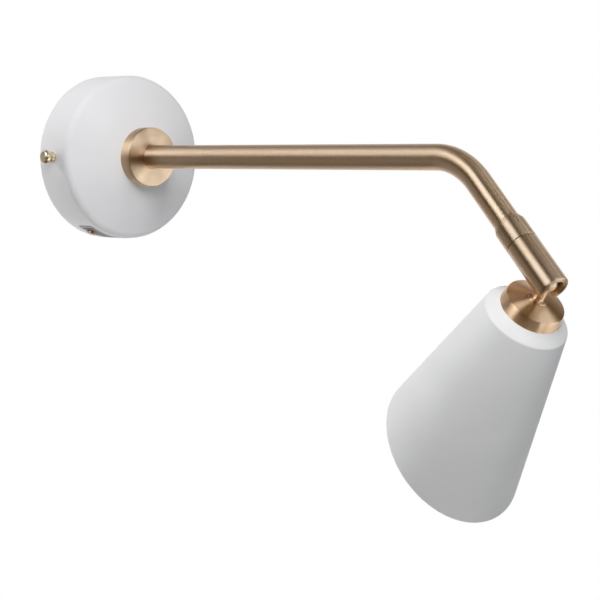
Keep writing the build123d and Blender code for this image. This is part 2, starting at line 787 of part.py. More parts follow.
def make_lamp_body():
    body = turned((0, lamp_back), *lamp_outline(0), (0, lamp_front))
    body -= turned((0, lamp_back + lamp_wall), *lamp_outline(lamp_wall), (0, lamp_front))
    pin_hole = rod(
        pin_neck_radius + seat_gap, lamp_back - overshoot, lamp_back + lamp_wall + overshoot
    )
    for side in (1, -1):
        body -= Pos(side * pin_spacing / 2, 0, 0) * pin_hole
    groove_start = lamp_back + lamp_base_height + lamp_rib_from_base
    groove_end = lamp_front - lamp_rim_height - lamp_rib_from_rim
    outline = lamp_outline(0)
    lower, upper = outline[2], outline[3]
    lean = (upper[0] - lower[0]) / (upper[1] - lower[1])
    start_radius = lower[0] + lean * (groove_start - lower[1])
    end_radius = lower[0] + lean * (groove_end - lower[1])
    start = Vector(start_radius, 0, groove_start)
    end = Vector(end_radius, 0, groove_end)
    flute = Plane(origin=start, z_dir=end - start, x_dir=(0, 1, 0)).location
    groove = flute * rod(lamp_rib_depth, 0, (end - start).length)
    for index in range(lamp_rib_count):
        body -= Rot(0, 0, index * 360 / lamp_rib_count) * groove
    return head * body


def make_lamp_lens():
    lens_radius = lamp_body_radius - lamp_wall - seat_gap
    lens = rod(lens_radius, lamp_front - lamp_lens_thickness, lamp_front)
    return head * fillet(circle_edges(lens, lens_radius, lamp_front), lamp_lens_round)


makers = {
    "canopy": make_canopy,
    "wall_bracket": make_wall_bracket,
    "side_screws": make_side_screws,
    "side_screw_ferrules": make_side_ferrules,
    "rim_screw": make_rim_screw,
    "rim_screw_nut": make_rim_nut,
    "earth_screw": make_earth_screw,
    "earth_washer": make_earth_washer,
    "terminal_block": make_terminal_block,
    "terminal_screws": make_terminal_screws,
    "arm_collar": make_arm_collar,
    "arm_nipple": make_arm_nipple,
    "nipple_lock_washer": make_lock_washer,
    "nipple_nut": make_nipple_nut,
    "nipple_bush": make_nipple_bush,
    "arm_tube": make_arm_tube,
    "arm_lead": make_arm_lead,
    "joint_sleeve": make_joint_sleeve,
    "seam_washer": make_seam_washer,
    "swivel_stud": make_swivel_stud,
    "swivel_spring_washer": make_spring_washer,
    "swivel_nut": make_swivel_nut,
    "swivel_fork": make_swivel_fork,
    "pivot_screw": make_pivot_screw,
    "pivot_bushes": make_pivot_bushes,
    "head_stem": make_head_stem,
    "shade_cap": make_shade_cap,
    "shade": make_shade,
    "holder_bracket": make_holder_bracket,
    "spigot_washer": make_spigot_washer,
    "spigot_nut": make_spigot_nut,
    "head_lead": make_head_lead,
    "lampholder": make_lampholder,
    "holder_screws": make_holder_screws,
    "lamp_pins": make_lamp_pins,
    "lamp_body": make_lamp_body,
    "lamp_lens": make_lamp_lens,
}

for node_name, make_node in makers.items():
    save(node_name, make_node())
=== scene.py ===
import bmesh
import bpy
import json
import math
from mathutils import Matrix, Vector


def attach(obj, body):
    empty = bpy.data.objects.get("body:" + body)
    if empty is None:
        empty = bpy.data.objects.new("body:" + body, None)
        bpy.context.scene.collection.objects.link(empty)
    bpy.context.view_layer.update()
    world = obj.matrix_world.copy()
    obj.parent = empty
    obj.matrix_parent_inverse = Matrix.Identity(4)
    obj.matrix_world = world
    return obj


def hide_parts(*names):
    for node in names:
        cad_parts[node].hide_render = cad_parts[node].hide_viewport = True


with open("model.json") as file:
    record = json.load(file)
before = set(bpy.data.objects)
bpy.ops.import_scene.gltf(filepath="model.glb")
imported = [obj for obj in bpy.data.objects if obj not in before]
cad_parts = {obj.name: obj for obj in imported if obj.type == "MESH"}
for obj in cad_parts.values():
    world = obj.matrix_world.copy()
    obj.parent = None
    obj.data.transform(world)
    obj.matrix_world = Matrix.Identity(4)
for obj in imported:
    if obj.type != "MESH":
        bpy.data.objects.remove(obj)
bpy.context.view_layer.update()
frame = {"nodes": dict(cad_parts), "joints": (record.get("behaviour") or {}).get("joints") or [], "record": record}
print("frame loaded,", len(frame["nodes"]), "nodes")

# places, taken from the frame's joints

mm = 0.001  # every outline below is in millimetres
toMetres = Matrix.Scale(mm, 4)
swivelJoint, tiltJoint = frame["joints"]
legAxis = Vector(swivelJoint["axis"]).normalized()
pivotPoint = Vector(tiltJoint["pos_m"])
tiltAxis = Vector(tiltJoint["axis"]).normalized()
headDrop = math.radians(-tiltJoint["range_deg"][0])  # from straight out to the rest pose
headAxis = Matrix.Rotation(headDrop, 3, tiltAxis) @ legAxis
outOfWall = Vector((0, -1, 0))
sideways = Vector((1, 0, 0))


def placeOf(origin, along, across):
    up = along.cross(across).normalized()
    turn = Matrix((up.cross(along), up, along)).transposed()
    return Matrix.Translation(origin) @ turn.to_4x4()


pivotAlongLeg = 87.9  # from the arm's corner to the cross pin
knobDepth = 14.0  # the side screws, off the wall
wallPlace = placeOf(Vector((0, 0, 0)), outOfWall, sideways)
legPlace = placeOf(pivotPoint - legAxis * pivotAlongLeg * mm, legAxis, sideways)
swivelPlace = placeOf(pivotPoint, legAxis, tiltAxis)
headPlace = placeOf(pivotPoint, headAxis, tiltAxis)
pinPlace = placeOf(pivotPoint, tiltAxis, legAxis)
knobPlace = placeOf(outOfWall * knobDepth * mm, sideways, outOfWall)

# small helpers for the finishes' nodes


def addNode(tree, kind, **values):
    node = tree.nodes.new(kind)
    for key, value in values.items():
        if key in node.inputs:
            node.inputs[key].default_value = value
        else:
            setattr(node, key, value)
    return node


def newFinish(name):
    finish = bpy.data.materials.new(name)
    finish.use_nodes = True
    return finish, finish.node_tree, finish.node_tree.nodes["Principled BSDF"]


def join(tree, source, target):
    tree.links.new(source, target)


def math2(tree, operation, first, second):
    node = addNode(tree, "ShaderNodeMath", operation=operation)
    for index, value in enumerate((first, second)):
        if isinstance(value, (int, float)):
            node.inputs[index].default_value = value
        else:
            join(tree, value, node.inputs[index])
    return node.outputs[0]


def spread(tree, value, low, high, fromLow=0.3, fromHigh=0.7):
    node = addNode(tree, "ShaderNodeMapRange")
    join(tree, value, node.inputs["Value"])
    node.inputs["From Min"].default_value = fromLow
    node.inputs["From Max"].default_value = fromHigh
    node.inputs["To Min"].default_value = low
    node.inputs["To Max"].default_value = high
    return node.outputs[0]


def attribute(tree, name, output):
    return addNode(tree, "ShaderNodeAttribute", attribute_name=name).outputs[output]


def blendColours(tree, amount, dark, light):
    node = addNode(tree, "ShaderNodeMix", data_type="RGBA")
    join(tree, amount, node.inputs[0])
    node.inputs[6].default_value = (*dark, 1)
    node.inputs[7].default_value = (*light, 1)
    return node.outputs[2]


def addBump(tree, shader, height, strength, distance):
    bump = addNode(tree, "ShaderNodeBump", Strength=strength, Distance=distance)
    join(tree, height, bump.inputs["Height"])
    join(tree, bump.outputs["Normal"], shader.inputs["Normal"])


brassLook = {
    "dark": (0.765, 0.535, 0.345),
    "light": (0.815, 0.580, 0.385),
    "roughness": (0.395, 0.435),
    "scratchesPerMetre": 5200,
    "scratchDetail": 2.0,
    "ringsPerMetre": 620,
    "ringDetail": 3.0,
    "streakLength": 2.2,  # how many times a scratch changes round the turn
    "scratchBump": 0.02,
    "bumpDistance": 0.02,
    "anisotropy": 0.978,
    "quarterTurn": 0.25,  # spreads the highlights across the rings
    "lacquer": 0.5,
    "lacquerRoughness": 0.22,
}
knobLook = {
    **brassLook,
    "dark": (0.90, 0.74, 0.48),
    "light": (0.96, 0.82, 0.58),
    "roughness": (0.28, 0.36),
    "anisotropy": 0.5,
}
toneOf = {  # brought each group's average to the photo's; the cause may be the photo's light
    "wall": (0.93, 0.92, 0.88),
    "leg": (0.89, 0.89, 0.90),
    "head": (1.09, 1.03, 0.93),
}


def toned(tone, look=brassLook):
    changed = {}
    for key in ("dark", "light"):
        changed[key] = tuple(part * amount for part, amount in zip(look[key], toneOf[tone]))
    return {**look, **changed}


def turnedBrass(name, place=None, look=brassLook):
    # lathe-turned brass: fine rings round the place's Z axis, or round a tube's own route
    finish, tree, shader = newFinish(name)
    if place is None:
        local = attribute(tree, "route", "Vector")
        around = attribute(tree, "around", "Vector")
    else:
        back = place.inverted()
        coords = addNode(tree, "ShaderNodeTexCoord")
        toLocal = addNode(tree, "ShaderNodeMapping",
                          Location=back.translation, Rotation=back.to_euler())
        join(tree, coords.outputs["Object"], toLocal.inputs["Vector"])
        local = toLocal.outputs["Vector"]
    parts = addNode(tree, "ShaderNodeSeparateXYZ")
    join(tree, local, parts.inputs[0])
    flat = addNode(tree, "ShaderNodeCombineXYZ")
    join(tree, parts.outputs[0], flat.inputs[0])
    join(tree, parts.outputs[1], flat.inputs[1])
    radius = addNode(tree, "ShaderNodeVectorMath", operation="LENGTH")
    join(tree, flat.outputs[0], radius.inputs[0])
    outward = addNode(tree, "ShaderNodeVectorMath", operation="NORMALIZE")
    join(tree, flat.outputs[0], outward.inputs[0])
    outwardParts = addNode(tree, "ShaderNodeSeparateXYZ")
    join(tree, outward.outputs[0], outwardParts.inputs[0])
    if place is not None:
        turned = addNode(tree, "ShaderNodeCombineXYZ")
        join(tree, math2(tree, "MULTIPLY", outwardParts.outputs[1], -1.0), turned.inputs[0])
        join(tree, outwardParts.outputs[0], turned.inputs[1])
        toPiece = addNode(tree, "ShaderNodeMapping",
                          vector_type="VECTOR", Rotation=place.to_euler())
        join(tree, turned.outputs[0], toPiece.inputs["Vector"])
        around = toPiece.outputs["Vector"]
    toWorld = addNode(tree, "ShaderNodeVectorTransform",
                      vector_type="VECTOR", convert_from="OBJECT", convert_to="WORLD")
    join(tree, around, toWorld.inputs[0])
    join(tree, toWorld.outputs[0], shader.inputs["Tangent"])

    def streak(side):
        return math2(tree, "MULTIPLY", outwardParts.outputs[side], look["streakLength"])

    def ringNoise(perMetre, detail):
        spot = addNode(tree, "ShaderNodeCombineXYZ")
        join(tree, math2(tree, "MULTIPLY", radius.outputs["Value"], perMetre), spot.inputs[0])
        join(tree, math2(tree, "MULTIPLY", parts.outputs[2], perMetre), spot.inputs[1])
        join(tree, streak(0), spot.inputs[2])
        noise = addNode(tree, "ShaderNodeTexNoise",
                        noise_dimensions="4D", Scale=1.0, Detail=detail)
        join(tree, spot.outputs[0], noise.inputs["Vector"])
        join(tree, streak(1), noise.inputs["W"])
        return noise.outputs["Fac"]

    scratches = ringNoise(look["scratchesPerMetre"], look["scratchDetail"])
    rings = ringNoise(look["ringsPerMetre"], look["ringDetail"])
    colour = blendColours(tree, spread(tree, rings, 0, 1), look["dark"], look["light"])
    join(tree, colour, shader.inputs["Base Color"])
    join(tree, spread(tree, scratches, *look["roughness"]), shader.inputs["Roughness"])
    addBump(tree, shader, scratches, look["scratchBump"], look["bumpDistance"] * mm)
    shader.inputs["Metallic"].default_value = 1.0
    shader.inputs["Anisotropic"].default_value = look["anisotropy"]
    shader.inputs["Anisotropic Rotation"].default_value = look["quarterTurn"]
    shader.inputs["Coat Weight"].default_value = look["lacquer"]
    shader.inputs["Coat Roughness"].default_value = look["lacquerRoughness"]
    return finish


paintLook = {
    "dark": (0.765, 0.768, 0.772),
    "light": (0.815, 0.817, 0.820),
    "roughness": (0.46, 0.60),
    "grainPerMetre": 2600,
    "grainDetail": 3.0,
    "grainRoughness": 0.6,
    "grainBump": 0.10,
    "bumpDistance": 0.05,
    "cloudPerMetre": 28,
    "cloudDetail": 2.0,
    "specular": 0.45,
}
# set from the photo's average
canopyLitPaintLook = {  # a lighter copy of the white paint, its tone set from a measured average: painted light on the canopy
    **paintLook,
    "dark": (0.808, 0.803, 0.818),
    "light": (0.854, 0.849, 0.865),
}


def powderCoat(name, look=paintLook):
    finish, tree, shader = newFinish(name)
    coords = addNode(tree, "ShaderNodeTexCoord")
    grain = addNode(tree, "ShaderNodeTexNoise", Scale=look["grainPerMetre"],
                    Detail=look["grainDetail"], Roughness=look["grainRoughness"])
    cloud = addNode(tree, "ShaderNodeTexNoise",
                    Scale=look["cloudPerMetre"], Detail=look["cloudDetail"])
    for noise in (grain, cloud):
        join(tree, coords.outputs["Object"], noise.inputs["Vector"])
    clouds = spread(tree, cloud.outputs["Fac"], 0, 1)
    colour = blendColours(tree, clouds, look["dark"], look["light"])
    join(tree, colour, shader.inputs["Base Color"])
    join(tree, spread(tree, grain.outputs["Fac"], *look["roughness"]), shader.inputs["Roughness"])
    addBump(tree, shader, grain.outputs["Fac"], look["grainBump"], look["bumpDistance"] * mm)
    shader.inputs["Specular IOR Level"].default_value = look["specular"]
    return finish


speckledLooks = {
    "zincPlate": {
        "dark": (0.50, 0.51, 0.52), "light": (0.68, 0.68, 0.66),
        "roughness": (0.30, 0.48), "perMetre": 900, "bump": 0.12, "metallic": 1.0,
    },
    "copperPlate": {
        "dark": (0.60, 0.36, 0.27), "light": (0.76, 0.52, 0.42),
        "roughness": (0.25, 0.40), "perMetre": 1500, "bump": 0.10, "metallic": 1.0,
    },
    "pinNickel": {
        "dark": (0.60, 0.59, 0.56), "light": (0.72, 0.71, 0.68),
        "roughness": (0.20, 0.32), "perMetre": 1800, "bump": 0.06, "metallic": 1.0,
    },
    "blackNylon": {
        "dark": (0.012, 0.012, 0.012), "light": (0.030, 0.030, 0.031),
        "roughness": (0.42, 0.60), "perMetre": 2400, "bump": 0.15,
    },
    "whiteNylon": {
        "dark": (0.70, 0.70, 0.64), "light": (0.80, 0.80, 0.75),
        "roughness": (0.35, 0.50), "perMetre": 1300, "bump": 0.10,
    },
    "leadSheath": {
        "dark": (0.016, 0.016, 0.017), "light": (0.036, 0.036, 0.038),
        "roughness": (0.38, 0.55), "perMetre": 1600, "bump": 0.18,
    },
    "glazedCeramic": {
        "dark": (0.74, 0.73, 0.69), "light": (0.83, 0.82, 0.79),
        "roughness": (0.10, 0.20), "perMetre": 700, "bump": 0.05,
    },
    "lampPlastic": {
        "dark": (0.74, 0.74, 0.73), "light": (0.82, 0.82, 0.81),
        "roughness": (0.28, 0.40), "perMetre": 1900, "bump": 0.08,
    },
    "frostedLens": {
        "dark": (0.84, 0.84, 0.82), "light": (0.93, 0.93, 0.92),
        "roughness": (0.35, 0.55), "perMetre": 1200, "bump": 0.30, "clearness": 0.6,
    },
}
speckleDetail, speckleRoughness, speckleBumpDistance = 4.0, 0.55, 0.03


def speckled(name):
    look = speckledLooks[name]
    finish, tree, shader = newFinish(name)
    coords = addNode(tree, "ShaderNodeTexCoord")
    speckle = addNode(tree, "ShaderNodeTexNoise", Scale=look["perMetre"],
                      Detail=speckleDetail, Roughness=speckleRoughness)
    join(tree, coords.outputs["Object"], speckle.inputs["Vector"])
    value = speckle.outputs["Fac"]
    colour = blendColours(tree, spread(tree, value, 0, 1), look["dark"], look["light"])
    join(tree, colour, shader.inputs["Base Color"])
    join(tree, spread(tree, value, *look["roughness"]), shader.inputs["Roughness"])
    addBump(tree, shader, value, look["bump"], speckleBumpDistance * mm)
    shader.inputs["Metallic"].default_value = look.get("metallic", 0.0)
    shader.inputs["Transmission Weight"].default_value = look.get("clearness", 0.0)
    return finish


filmLook = {
    "outline": (0.045, 0.045, 0.042),
    "band": (0.42, 0.42, 0.40),
    "panel": (0.075, 0.077, 0.062),
    "mottle": 0.15,
    "mottlePerMetre": 900,
    "mottleDetail": 4.0,
    "roughness": (0.35, 0.5),
}
bandZone, panelZone = 0.5, 1.0  # the label's outline is zone 0


def borderedFilm(name, look=filmLook):
    # one colour for each of the label's own zones, with a faint mottle
    finish, tree, shader = newFinish(name)
    zone = attribute(tree, "zone", "Fac")
    inBand = math2(tree, "GREATER_THAN", zone, bandZone / 2)
    inPanel = math2(tree, "GREATER_THAN", zone, (bandZone + panelZone) / 2)
    edge = blendColours(tree, inBand, look["outline"], look["band"])
    plain = addNode(tree, "ShaderNodeMix", data_type="RGBA")
    join(tree, inPanel, plain.inputs[0])
    join(tree, edge, plain.inputs[6])
    plain.inputs[7].default_value = (*look["panel"], 1)
    coords = addNode(tree, "ShaderNodeTexCoord")
    mottle = addNode(tree, "ShaderNodeTexNoise",
                     Scale=look["mottlePerMetre"], Detail=look["mottleDetail"])
    join(tree, coords.outputs["Object"], mottle.inputs["Vector"])
    level = spread(tree, mottle.outputs["Fac"], 1 - look["mottle"], 1 + look["mottle"])
    shaded = addNode(tree, "ShaderNodeVectorMath", operation="SCALE")
    join(tree, plain.outputs[2], shaded.inputs[0])
    join(tree, level, shaded.inputs["Scale"])
    join(tree, shaded.outputs[0], shader.inputs["Base Color"])
    join(tree, spread(tree, mottle.outputs["Fac"], *look["roughness"]), shader.inputs["Roughness"])
    return finish


whitePaint = powderCoat("whitePaint")
# the canopy's lighter copy of the white paint, painted light
canopyLitPaint = powderCoat("canopyLitPaint", canopyLitPaintLook)
wallBrass = turnedBrass("wallBrass", wallPlace, toned("wall"))
legBrass = turnedBrass("legBrass", legPlace, toned("leg"))
swivelBrass = turnedBrass("swivelBrass", swivelPlace, toned("leg"))
headBrass = turnedBrass("headBrass", headPlace, toned("head"))
pinBrass = turnedBrass("pinBrass", pinPlace)
knobBrass = turnedBrass("knobBrass", knobPlace, knobLook)
tubeBrass = turnedBrass("tubeBrass")
labelFilm = borderedFilm("labelFilm")
speckles = {name: speckled(name) for name in speckledLooks}
print("finishes made")

# what each of the CAD's own nodes wears, by its slot or, for the brass, by its place
nodeFinishes = {
    "zinc_steel": speckles["zincPlate"],
    "copper_screw": speckles["copperPlate"],
    "lamp_pin_metal": speckles["pinNickel"],
    "black_nylon": speckles["blackNylon"],
    "clear_nylon": speckles["whiteNylon"],
    "lead_sheath": speckles["leadSheath"],
    "ceramic": speckles["glazedCeramic"],
    "lamp_plastic": speckles["lampPlastic"],
    "lamp_lens": speckles["frostedLens"],
    "painted_white": whitePaint,
}
brassNodes = {
    "arm_collar": wallBrass,
    "arm_nipple": wallBrass,
    "arm_tube": wallBrass,
    "side_screws": knobBrass,
    "side_screw_ferrules": knobBrass,
    "joint_sleeve": legBrass,
    "swivel_stud": legBrass,
    "swivel_nut": legBrass,
    "swivel_fork": swivelBrass,
    "pivot_screw": pinBrass,
    "head_stem": headBrass,
    "shade_cap": headBrass,
}
for subpart in frame["record"]["subparts"]:
    node = subpart["node"]
    finish = brassNodes.get(node) or nodeFinishes[subpart["material_slot"]]
    frame["nodes"][node].data.materials.clear()
    frame["nodes"][node].data.materials.append(finish)

closeEnough = 0.01  # for finding an edge by its place
mergeWithin = 0.001
onPlane = 0.0001
overshoot = 1.0  # how far a cutter passes the piece

# the turned pieces are outlines of (radius, height) corners, spun round Z and then put in place


def spinOutline(corners, steps, closed=True):
    bm = bmesh.new()
    rail = [bm.verts.new((radius, 0, height)) for radius, height in corners]
    for start, end in zip(rail, rail[1:] + rail[:1] if closed else rail[1:]):
        bm.edges.new((start, end))
    bmesh.ops.spin(bm, geom=bm.verts[:] + bm.edges[:], axis=(0, 0, 1), cent=(0, 0, 0),
                   steps=steps, angle=math.tau, use_merge=True)
    bmesh.ops.remove_doubles(bm, verts=bm.verts, dist=mergeWithin)
    bmesh.ops.recalc_face_normals(bm, faces=bm.faces)
    return bm


def roundEdges(bm, edges, offset, segments):
    bmesh.ops.bevel(bm, geom=edges, offset=offset, segments=segments, profile=0.5,
                    affect="EDGES", material=-1)


def roundRing(bm, radius, height, size, segments):
    def onRing(corner):
        away = abs(corner.co.xy.length - radius)
        return away < closeEnough and abs(corner.co.z - height) < closeEnough

    ring = [edge for edge in bm.edges if all(onRing(corner) for corner in edge.verts)]
    roundEdges(bm, ring, size * math.tan(ring[0].calc_face_angle() / 2), segments)


def finishPiece(name, bm, place, finish, body, nodes=(), sharpFrom=30):
    bm.transform(place @ toMetres)
    mesh = bpy.data.meshes.new(name)
    bm.to_mesh(mesh)
    bm.free()
    mesh.shade_smooth()
    mesh.set_sharp_from_angle(angle=math.radians(sharpFrom))
    mesh.materials.append(finish)
    piece = bpy.data.objects.new(name, mesh)
    bpy.context.scene.collection.objects.link(piece)
    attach(piece, body)
    for node in nodes:
        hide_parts(node)


canopyShape = {
    "radius": 50.0,
    "rimDepth": 28.0,
    "seatRadius": 17.9,
    "seatDepth": 39.2,
    "hole": 5.05,
    "wall": 1.2,
    "edgeRound": 5.0,
    "footRound": 0.35,
    "sides": 256,
}


def makeCanopy(shape=canopyShape):
    radius, rim, wall = shape["radius"], shape["rimDepth"], shape["wall"]
    slope = (shape["seatDepth"] - rim) / (radius - shape["seatRadius"])
    drop = wall * math.hypot(1, slope)
    insideRim = rim - drop + wall * slope
    insideSeat = shape["seatRadius"] + (drop - wall) / slope
    bm = spinOutline([
        (radius, 0), (radius, rim), (shape["seatRadius"], shape["seatDepth"]),
        (shape["hole"], shape["seatDepth"]), (shape["hole"], shape["seatDepth"] - wall),
        (insideSeat, shape["seatDepth"] - wall), (radius - wall, insideRim), (radius - wall, 0),
    ], steps=shape["sides"])
    roundRing(bm, radius, rim, shape["edgeRound"], segments=12)
    roundRing(bm, radius - wall, insideRim, shape["edgeRound"] - wall, segments=8)
    roundRing(bm, radius, 0, shape["footRound"], segments=3)
    finishPiece("whiteCanopy", bm, wallPlace, canopyLitPaint, "arm", ["canopy"])


def cutAway(bm, cutters):
    # takes each cutter's shape out of the piece, and clears up what it needed to do so
    work = []
    for part in [bm] + cutters:
        mesh = bpy.data.meshes.new("work")
        part.to_mesh(mesh)
        part.free()
        work.append(bpy.data.objects.new("work", mesh))
        bpy.context.scene.collection.objects.link(work[-1])
    for cutter in work[1:]:
        cut = work[0].modifiers.new("cut", "BOOLEAN")
        cut.operation, cut.solver, cut.object = "DIFFERENCE", "EXACT", cutter
    left = bmesh.new()
    left.from_object(work[0], bpy.context.evaluated_depsgraph_get())
    for thing in work:
        bpy.data.meshes.remove(thing.data)
    return left


def boxCutter(low, high):
    bm = bmesh.new()
    low, high = Vector(low), Vector(high)
    bmesh.ops.create_cube(bm, size=1.0)
    bmesh.ops.scale(bm, verts=bm.verts, vec=high - low)
    bmesh.ops.translate(bm, verts=bm.verts, vec=(low + high) / 2)
    return bm


def rodCutter(radius, start, end, along, at=(0, 0, 0), segments=48):
    bm = bmesh.new()
    turn = Vector(along).to_track_quat("Z", "Y").to_matrix().to_4x4()
    lift = Matrix.Translation((0, 0, (start + end) / 2))
    bmesh.ops.create_cone(bm, cap_ends=True, segments=segments, radius1=radius, radius2=radius,
                          depth=end - start, matrix=Matrix.Translation(at) @ turn @ lift)
    return bm


knobShape = {
    "shank": 2.0,
    "inside": 6.0,
    "neck": 2.6,
    "neckStart": 2.4,
    "neckEnd": 3.3,
    "neckRound": 0.3,
    "knob": 4.2,
    "knobStart": 4.3,
    "knobStartRound": 0.5,
    "knobEnd": 7.6,
    "knobRound": 1.8,
    "ferrule": 3.1,
    "ferruleSunk": 0.1,
    "ferruleGap": 0.02,
    "ferruleRound": 0.4,
    "sides": 72,
    "sharpFrom": 38,  # degrees
}


def makeSideScrews(shape=knobShape):
    shank, neck, knob, ferrule = shape["shank"], shape["neck"], shape["knob"], shape["ferrule"]
    inside, neckStart, sunk = shape["inside"], shape["neckStart"], shape["ferruleSunk"]
    hole = shank + shape["ferruleGap"]
    for side, hand in (("Left", -1), ("Right", 1)):
        outwards = sideways * hand
        spot = outwards * canopyShape["radius"] + outOfWall * knobDepth
        place = placeOf(spot * mm, outwards, outOfWall)
        bm = spinOutline([
            (0, -inside), (shank, -inside), (shank, neckStart), (neck, neckStart),
            (neck, shape["neckEnd"]), (knob, shape["knobStart"]), (knob, shape["knobEnd"]),
            (0, shape["knobEnd"]),
        ], closed=False, steps=shape["sides"])
        roundRing(bm, knob, shape["knobEnd"], shape["knobRound"], segments=8)
        roundRing(bm, knob, shape["knobStart"], shape["knobStartRound"], segments=4)
        roundRing(bm, neck, shape["neckEnd"], shape["neckRound"], segments=3)
        finishPiece("sideKnob" + side, bm, place, knobBrass, "arm", ["side_screws"],
                    sharpFrom=shape["sharpFrom"])
        bm = spinOutline([(hole, -sunk), (ferrule, -sunk), (ferrule, neckStart), (hole, neckStart)],
                         steps=shape["sides"])
        roundRing(bm, ferrule, neckStart, shape["ferruleRound"], segments=3)
        finishPiece("sideFerrule" + side, bm, place, knobBrass, "arm",
                    ["side_screw_ferrules"], sharpFrom=shape["sharpFrom"])


collarShape = {
    "radius": 17.9,
    "back": 39.2,
    "front": 47.4,
    "crown": 0.7,
    "web": 2.2,
    "bore": 7.12,
    "nippleHole": 5.02,
    "edge": 0.5,
    "edgeSoftness": 0.14,
    "boreSoftness": 0.4,
    "sides": 256,
}


def makeCollar(shape=collarShape):
    radius, front = shape["radius"], shape["front"]
    bm = spinOutline([
        (shape["nippleHole"], shape["back"]), (radius, shape["back"]), (radius, front),
        (shape["bore"], front + shape["crown"]), (shape["bore"], shape["back"] + shape["web"]),
        (shape["nippleHole"], shape["back"] + shape["web"]),
    ], steps=shape["sides"])
    roundRing(bm, radius, front, shape["edge"], segments=3)
    roundRing(bm, radius, shape["back"], shape["edgeSoftness"], segments=2)
    roundRing(bm, shape["bore"], front + shape["crown"], shape["boreSoftness"], segments=3)
    finishPiece("brassCollar", bm, wallPlace, wallBrass, "arm", ["arm_collar"])


tubeShape = {
    "radius": 7.1,
    "wall": 1.2,
    "start": 41.4,  # off the wall
    "legEnd": 57.6,  # down the leg from the arm's corner
    "bend": 44.0,
    "bendSteps": 36,
    "sides": 96,
}


def makeTube(shape=tubeShape):
    # a ring of tube wall, drawn straight out, round the bend and down the leg
    corner = (wallPlace.inverted() @ legPlace.translation).z / mm
    drop = outOfWall.angle(legAxis)
    cut = shape["bend"] * math.tan(drop / 2)
    bm = bmesh.new()
    for radius in (shape["radius"], shape["radius"] - shape["wall"]):
        bmesh.ops.create_circle(bm, segments=shape["sides"], radius=radius)
    bmesh.ops.bridge_loops(bm, edges=bm.edges)
    bmesh.ops.translate(bm, verts=bm.verts, vec=(0, 0, shape["start"]))

    def draw(faces, along):
        out = bmesh.ops.extrude_face_region(bm, geom=faces)["geom"]
        ends = [part for part in out if isinstance(part, bmesh.types.BMVert)]
        bmesh.ops.translate(bm, verts=ends, vec=along)
        return [part for part in out if isinstance(part, bmesh.types.BMFace)]

    front = draw(bm.faces[:], Vector((0, 0, corner - cut - shape["start"])))
    bend = bmesh.ops.spin(bm, geom=front, axis=(1, 0, 0), cent=(0, -shape["bend"], corner - cut),
                          steps=shape["bendSteps"], angle=drop)
    front = [part for part in bend["geom_last"] if isinstance(part, bmesh.types.BMFace)]
    draw(front, Vector((0, -math.sin(drop), math.cos(drop))) * (shape["legEnd"] - cut))
    bmesh.ops.recalc_face_normals(bm, faces=bm.faces)

    # where each point lies along the tube and round it, for the brass
    route = bm.verts.layers.float_vector.new("route")
    around = bm.verts.layers.float_vector.new("around")
    straight = corner - cut
    for vert in bm.verts:
        y, z = vert.co.y + shape["bend"], vert.co.z - straight
        turn = min(max(math.atan2(z, y), 0.0), drop)
        upwards = Vector((0, math.cos(turn), math.sin(turn)))
        ahead = Vector((0, -math.sin(turn), math.cos(turn)))
        middle = Vector((0, -shape["bend"], straight)) + upwards * shape["bend"]
        past = (vert.co - middle).dot(ahead)
        across, rise = vert.co.x, (vert.co - middle).dot(upwards)
        vert[route] = Vector((across, rise, straight + turn * shape["bend"] + past)) * mm
        vert[around] = wallPlace.to_3x3() @ (Vector((-rise, 0, 0)) + upwards * across).normalized()
    finishPiece("brassTube", bm, wallPlace, tubeBrass, "arm", ["arm_tube"])


sleeveShape = {
    "radius": 8.6,
    "start": 47.3,
    "taper": 3.3,
    "end": 62.2,
    "bore": 7.12,
    "lip": 7.35,
    "studHole": 4.02,
    "web": 4.6,
    "taperRound": 1.2,
    "seamRound": 0.28,
    "sides": 192,
}


def makeSleeve(shape=sleeveShape):
    web = shape["end"] - shape["web"]
    bm = spinOutline([
        (shape["studHole"], web), (shape["bore"], web), (shape["bore"], shape["start"]),
        (shape["lip"], shape["start"]), (shape["radius"], shape["start"] + shape["taper"]),
        (shape["radius"], shape["end"]), (shape["studHole"], shape["end"]),
    ], steps=shape["sides"])
    roundRing(bm, shape["radius"], shape["start"] + shape["taper"], shape["taperRound"], segments=4)
    roundRing(bm, shape["radius"], shape["end"], shape["seamRound"], segments=3)
    finishPiece("brassSleeve", bm, legPlace, legBrass, "arm", ["joint_sleeve"])


forkShape = {
    "radius": 8.6,
    "start": -25.4,  # heights from the pivot, along the leg
    "end": 6.0,
    "endRound": 1.1,
    "bore": 5.75,
    "boreRound": 0.5,
    "webEnd": -20.4,
    "studHole": 4.05,
    "seamRound": 0.28,
    "slotWidth": 9.4,
    "slotStart": -7.2,
    "slotRound": 3.55,
    "pin": 2.02,
    "pinSkin": 0.8,
    "headHole": 3.25,
    "headSeat": 6.7,
    "sides": 128,
}


